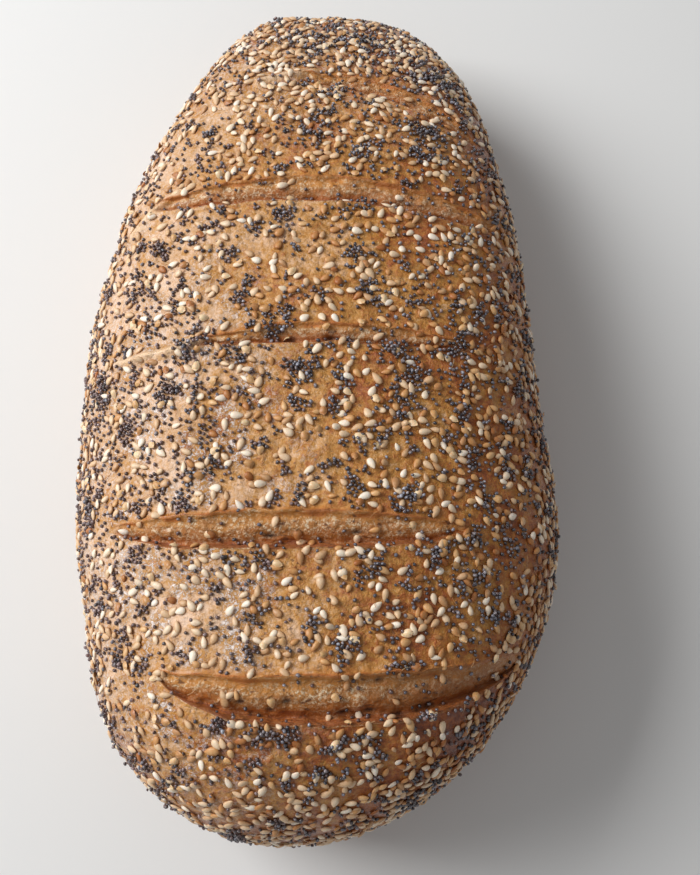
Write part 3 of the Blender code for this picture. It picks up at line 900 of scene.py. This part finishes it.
def poppy_centres(draw, grid, normals, zones):
    """Places, reaches and numbers of the heaps of poppy seeds, the marked ones first."""
    seeds = bpy.context.scene.loaf_seeds
    marked = np.array(POPPY_HEAPS)
    marked[:, 0] -= crust_surface()[3] / MM
    top = grid[normals[..., 2] > 0.15]
    away = (np.hypot(top[:, 0] - x * MM, top[:, 1] - y * MM) for x, y in marked[:, :2])
    centres = np.array([top[np.argmin(distances)] for distances in away])
    weight = np.exp(1.6 * noise_at(grid, 0.022, shift=97.0))
    weight = weight * seeded_share(grid, zones, on_floor=0.1, low_share=0.2)
    others = spread_over(draw, grid, normals, weight, seeds.poppy_heaps)[0]
    small = 2 + draw.geometric(0.24, len(others))
    counts = np.concatenate([marked[:, 4], small]).astype(int)
    reaches = np.concatenate([marked[:, 2:4] * MM, MM * draw.uniform(0.7, 1.4, (len(others), 2))])
    return np.concatenate([centres, others]), reaches, counts


def heaped_poppies(draw, grid, normals, zones):
    """Where the seeds of all heaps lie on the skin, with their normals."""
    size = bpy.context.scene.loaf_seeds.poppy_size
    centres, reaches, counts = poppy_centres(draw, grid, normals, zones)
    heaps = [heap(draw, count, reach, size) for count, reach in zip(counts, reaches)]
    spread = np.concatenate(heaps)
    counts = [len(spots) for spots in heaps]
    normal = drop_on(centres)[1]
    crosswise = np.cross(normal, [[0.0, 1.0, 0.0]])
    crosswise /= np.linalg.norm(crosswise, axis=1, keepdims=True)
    lengthwise = np.cross(normal, crosswise)
    places = np.repeat(centres, counts, axis=0) + spread[:, :1] * np.repeat(crosswise, counts, axis=0)
    return drop_on(places + spread[:, 1:] * np.repeat(lengthwise, counts, axis=0))


def loose_poppies(draw, grid, normals, zones):
    """Where the seeds outside the heaps lie, with their normals: most on the left flank and far end."""
    x, y = grid[..., 0], grid[..., 1]
    weight = 0.3 + np.exp(2.0 * noise_at(grid, 0.007, shift=61.0))
    left_flank = bell(x, -0.046, 0.020) * bell(y, -0.015, 0.062)
    weight = weight + 4.5 * left_flank + 1.8 * growing(x, start=0.005, run=0.03)
    tip = 7.0 * growing(y, start=0.082, run=0.025)
    weight = weight + tip * growing(x, start=-0.02, run=0.03, least=0.3)
    far = 2.2 * growing(y, start=0.02, run=0.03)
    weight = weight + far * growing(x, start=-0.02, run=0.03)
    weight = weight * seeded_share(grid, zones, on_floor=0.2, low_share=0.35)
    return spread_over(draw, grid, normals, weight, bpy.context.scene.loaf_seeds.poppy_count)


def poppy_places():
    """Where the poppy seeds lie, with their normals and how high each one sits, in seed sizes."""
    draw = np.random.default_rng(13)
    grid, normals, zones, _ = crust_surface()
    closest = bpy.context.scene.loaf_seeds.poppy_size * CLOSEST_POPPY
    heaped, heaped_normal = heaped_poppies(draw, grid, normals, zones)
    loose, loose_normal = loose_poppies(draw, grid, normals, zones)
    places, normal = np.concatenate([heaped, loose]), np.concatenate([heaped_normal, loose_normal])
    sits = np.zeros(len(places))
    kept = thin_out(places, closest)
    piled = ~kept & (np.arange(len(places)) < len(heaped))
    second = np.flatnonzero(piled)[thin_out(places[piled], closest)]
    sits[second] = UPPER_LIFT
    kept[second] = True
    gaps = gaps_to(places, sesame_places()[0])
    kept &= gaps > BLOCKED_GAP
    sits = sits + RAISED_LIFT * (gaps < RAISED_GAP)
    return places[kept], normal[kept], sits[kept]


def varied(draw, middling, count):
    """Sizes of this many seeds, about the middling one."""
    return middling * np.clip(draw.normal(1.0, SIZE_SPREAD, (count, 1)), LEAST_SIZE, MOST_SIZE)


def toasted_share(places):
    """The share of toasted sesame seeds at each place: most at the near right, fewest at the far end."""
    x, y = places[:, 0], places[:, 1]
    browned = 0.2 + 0.22 * growing(x, start=0.0, run=0.06, least=-0.5) - 0.3 * (y > 0.08)
    near_right = growing(x, start=0.0, run=0.05) * growing(-y, start=0.07, run=0.04)
    return browned + 0.35 * near_right


class LoafSeeds(bpy.types.PropertyGroup):
    """Sizes and numbers of the seeds."""

    sesame_count: bpy.props.IntProperty(
        name="Sesame seeds", description="How many sesame seeds lie on the crust", default=3900, min=0
    )
    sesame_length: bpy.props.FloatProperty(
        name="Sesame length", description="Length of a middling sesame seed", default=0.0030, unit="LENGTH"
    )
    sesame_width: bpy.props.FloatProperty(
        name="Sesame width", description="Width of a middling sesame seed", default=0.0018, unit="LENGTH"
    )
    sesame_thickness: bpy.props.FloatProperty(
        name="Sesame thickness",
        description="Thickness of a middling sesame seed",
        default=0.0010,
        unit="LENGTH",
    )
    poppy_count: bpy.props.IntProperty(
        name="Loose poppy seeds", description="How many lie outside the heaps", default=9500, min=0
    )
    poppy_heaps: bpy.props.IntProperty(
        name="Poppy heaps", description="How many small heaps of poppy seeds lie about", default=560, min=0
    )
    poppy_size: bpy.props.FloatProperty(
        name="Poppy size", description="Length of a middling poppy seed", default=0.00112, unit="LENGTH"
    )


class LoafColours(bpy.types.PropertyGroup):
    """Colours of the crust, its lips and the pale flecks of its painted glints."""

    # The pale crust's peach tint is partly a painted sheen from the light on the left.
    crust_pale: bpy.props.FloatVectorProperty(
        name="Pale crust",
        description="Least browned crust",
        default=linear(238, 195, 157)[:3],
        subtype="COLOR",
    )
    crust_golden: bpy.props.FloatVectorProperty(
        name="Golden crust",
        description="Crust on the crown",
        default=linear(204, 142, 58)[:3],
        subtype="COLOR",
    )
    crust_amber: bpy.props.FloatVectorProperty(
        name="Amber crust",
        description="Well browned crust",
        default=linear(170, 88, 18)[:3],
        subtype="COLOR",
    )
    crust_dark: bpy.props.FloatVectorProperty(
        name="Dark crust", description="Most browned crust", default=linear(114, 46, 8)[:3], subtype="COLOR"
    )
    lip: bpy.props.FloatVectorProperty(
        name="Lip",
        description="Thin baked lip along a score",
        default=linear(204, 128, 50)[:3],
        subtype="COLOR",
    )
    # Painted glints: pale flecks of colour standing in for the light's reflection.
    painted_glint: bpy.props.FloatVectorProperty(
        name="Flecks",
        description="Pale flecks at the left and far end",
        default=linear(255, 240, 232)[:3],
        subtype="COLOR",
    )


class LoafStage(bpy.types.PropertyGroup):
    """The floor, the camera and the lights."""

    floor: bpy.props.FloatVectorProperty(
        name="Floor", description="Colour of the floor", default=(0.80, 0.79, 0.77), subtype="COLOR"
    )
    camera_place: bpy.props.FloatVectorProperty(
        name="Camera place",
        description="Where the camera stands",
        default=(0.0100, -0.0658, 0.3585),
        unit="LENGTH",
    )
    camera_lean: bpy.props.FloatProperty(
        name="Camera lean",
        description="Lean of the view from straight down",
        default=math.radians(9.51),
        unit="ROTATION",
    )
    camera_roll: bpy.props.FloatProperty(
        name="Camera roll",
        description="Turn of the view about its axis",
        default=math.radians(-1.38),
        unit="ROTATION",
    )
    lens: bpy.props.FloatProperty(
        name="Lens", description="Focal length on a 36 mm high frame", default=45.26, unit="CAMERA"
    )
    window_power: bpy.props.FloatProperty(
        name="Window light", description="Power of the broad light", default=13.7, unit="POWER"
    )
    fill_strength: bpy.props.FloatProperty(
        name="Fill light", description="Strength of the even light", default=0.3, subtype="FACTOR"
    )


class LOAF_OT_crust(bpy.types.Operator):
    """Build the crust with its open scores, in place of the plain loaf"""

    bl_idname = "loaf.crust"
    bl_label = "Crust"

    def execute(self, context):
        grid, _, zones, _ = crust_surface()
        mesh = close_grid("crust", grid)
        # Painted glints, kept off the lips and the scores' floors.
        painted_glint = painted_glint_of(grid) * (1.0 - zones["lip"]) * (zones["score_floor"] < 0.1)
        values = {**zones, "browning_and_shade": browning_and_shade_of(grid), "painted_glint": painted_glint}
        for name, spread in values.items():
            add_values(mesh, name, np.append(spread.reshape(-1), [spread[0].mean(), spread[-1].mean()]))
        crust = put("crust", mesh, crust_material(context.scene.loaf_colours))
        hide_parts("loaf")
        return {"FINISHED"}


class LOAF_OT_sesame(bpy.types.Operator):
    """Lay the sesame seeds on the crust: ivory, honey-coloured and toasted ones"""

    bl_idname = "loaf.sesame"
    bl_label = "Sesame seeds"

    def execute(self, context):
        draw = np.random.default_rng(12)
        seeds = context.scene.loaf_seeds
        places, normals = sesame_places()
        count = len(places)
        middling = np.array([seeds.sesame_length, seeds.sesame_width, seeds.sesame_thickness])
        sizes = varied(draw, middling, count) * draw.uniform(*SESAME_SHAPE, (count, 3))
        places = places + normals * sizes[:, 2:3] * draw.uniform(*SESAME_SEAT, (count, 1))
        steep = normals[:, 2] < 0.55
        turns = np.where(steep, draw.normal(0, 0.6, count), draw.uniform(0, 2 * math.pi, count))
        tilts = draw.normal(0.0, 0.2, count)
        tones = draw.beta(1.5, 1.8, count)
        toasted = draw.random(count) < toasted_share(places)
        kind = np.where(toasted, 2, draw.integers(0, 2, count))
        for number, (name, stops) in enumerate(SESAME_KINDS.items()):
            material = seed_material(name, stops, roughness=0.42, bumpiness=0.3, glow=0.1, painted_rim=0.35)
            laid = (values[kind == number] for values in (places, normals, turns, tilts, sizes, tones))
            scatter(name, material, "sesame", teardrop(), *laid)
        return {"FINISHED"}


class LOAF_OT_poppy(bpy.types.Operator):
    """Lay the poppy seeds on the crust, singly and in heaps"""

    bl_idname = "loaf.poppy"
    bl_label = "Poppy seeds"

    def execute(self, context):
        draw = np.random.default_rng(14)
        seeds = context.scene.loaf_seeds
        places, normals, sits = poppy_places()
        count = len(places)
        sizes = varied(draw, seeds.poppy_size * np.array(POPPY_SHAPE), count)
        seat = sits[:, None] + draw.uniform(*POPPY_SEAT, (count, 1))
        places = places + normals * seeds.poppy_size * seat
        turns, tilts = draw.uniform(0, 2 * math.pi, count), draw.normal(0.0, 0.5, count)
        tones = draw.beta(1.6, 1.6, count)
        bluish = 0.45 + 0.35 * growing(places[:, 0], start=-0.02, run=0.03, least=-1.0) + 0.3 * (sits > 0)
        kind = np.where(draw.random(count) < bluish, draw.integers(0, 2, count), 2)
        for number, (name, stops) in enumerate(POPPY_KINDS.items()):
            material = seed_material(name, stops, roughness=0.26, bumpiness=0.8, shine=1.0, painted_rim=-0.2)
            laid = (values[kind == number] for values in (places, normals, turns, tilts, sizes, tones))
            scatter(name, material, "poppy", kidney(), *laid)
        return {"FINISHED"}


class LOAF_OT_flakes(bpy.types.Operator):
    """Lay empty sesame hulls and thin fibres between the seeds"""

    bl_idname = "loaf.flakes"
    bl_label = "Hulls and fibres"

    def execute(self, context):
        draw = np.random.default_rng(15)
        grid, normals, zones, _ = crust_surface()
        weight = seeded_share(grid, zones, on_floor=0.3, low_share=0.2)
        for form, (name, (count, least, most)) in zip((shell(), strand()), FLAKES.items()):
            places, outward = spread_over(draw, grid, normals, weight, count)
            sizes = np.array(least) + draw.random((count, 1)) * (np.array(most) - np.array(least))
            turns, tilts = draw.uniform(0, 2 * math.pi, count), draw.normal(0.0, 0.3, count)
            tones = draw.random(count)
            lifted = places + outward * FLAKE_LIFT
            material = seed_material(name, HULL_TONES, roughness=0.4, bumpiness=0.2, glow=0.3)
            scatter(name, material, "sesame", form, lifted, outward, turns, tilts, sizes, tones)
        return {"FINISHED"}


class LOAF_OT_stage(bpy.types.Operator):
    """Set a plain pale floor, soft light and the camera"""

    bl_idname = "loaf.stage"
    bl_label = "Floor, light and camera"

    def execute(self, context):
        stage = context.scene.loaf_stage
        self.add_floor(context, stage)
        self.add_lights(context, stage)
        self.add_camera(context, stage)
        context.scene.view_settings.view_transform = "Standard"
        return {"FINISHED"}

    def add_floor(self, context, stage):
        corners = [(-1, -1), (1, -1), (1, 1), (-1, 1)]
        mesh = bpy.data.meshes.new("floor")
        mesh.from_pydata([(FLOOR_REACH * x, FLOOR_REACH * y, 0) for x, y in corners], [], [(0, 1, 2, 3)])
        paint = {"Base Color": opaque(stage.floor), "Roughness": 0.8}
        mesh.materials.append(Nodes("floor_paint").finish(paint))
        floor = bpy.data.objects.new("floor", mesh)
        floor.location.z = -FLOOR_DROP
        context.scene.collection.objects.link(floor)

    def add_lights(self, context, stage):
        world = bpy.data.worlds.new("even_light")
        world.use_nodes = True
        background = world.node_tree.nodes["Background"]
        background.inputs["Color"].default_value = (0.97, 0.98, 1.0, 1.0)
        background.inputs["Strength"].default_value = stage.fill_strength
        context.scene.world = world
        window = bpy.data.lights.new("window", "AREA")
        window.shape = "SQUARE"
        window.size = WINDOW_SIZE
        window.energy = stage.window_power
        window.color = (0.97, 0.985, 1.0)
        lamp = bpy.data.objects.new("window", window)
        lamp.location = WINDOW_PLACE
        lamp.rotation_euler = (Vector(WINDOW_AIM) - lamp.location).to_track_quat("-Z", "Y").to_euler()
        context.scene.collection.objects.link(lamp)

    def add_camera(self, context, stage):
        lens = bpy.data.cameras.new("camera")
        lens.sensor_fit = "VERTICAL"
        lens.sensor_height = 36.0
        lens.lens = stage.lens
        lens.clip_start = 0.01
        camera = bpy.data.objects.new("camera", lens)
        camera.location = stage.camera_place
        turned = Matrix.Rotation(stage.camera_lean, 4, "X") @ Matrix.Rotation(stage.camera_roll, 4, "Z")
        camera.rotation_euler = turned.to_euler()
        context.scene.collection.objects.link(camera)
        context.scene.camera = camera


class LOAF_PT_tools(bpy.types.Panel):
    """Lists the loaf's steps in the sidebar"""

    bl_idname = "LOAF_PT_tools"
    bl_label = "Seeded Loaf"
    bl_space_type = "VIEW_3D"
    bl_region_type = "UI"
    bl_category = "Seeded Loaf"

    def draw(self, context):
        for operator in OPERATORS:
            self.layout.operator(operator.bl_idname)


OPERATORS = (LOAF_OT_crust, LOAF_OT_sesame, LOAF_OT_poppy, LOAF_OT_flakes, LOAF_OT_stage)
GROUPS = {"loaf_seeds": LoafSeeds, "loaf_colours": LoafColours, "loaf_stage": LoafStage}


def register():
    for cls in (*GROUPS.values(), *OPERATORS, LOAF_PT_tools):
        bpy.utils.register_class(cls)
    for name, group in GROUPS.items():
        setattr(bpy.types.Scene, name, bpy.props.PointerProperty(type=group))


def unregister():
    for name in GROUPS:
        delattr(bpy.types.Scene, name)
    for cls in reversed((*GROUPS.values(), *OPERATORS, LOAF_PT_tools)):
        bpy.utils.unregister_class(cls)


def main():
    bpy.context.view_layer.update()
    register()
    bpy.ops.loaf.crust()
    bpy.ops.loaf.sesame()
    bpy.ops.loaf.poppy()
    bpy.ops.loaf.flakes()
    bpy.ops.loaf.stage()


if __name__ == "__main__":
    main()
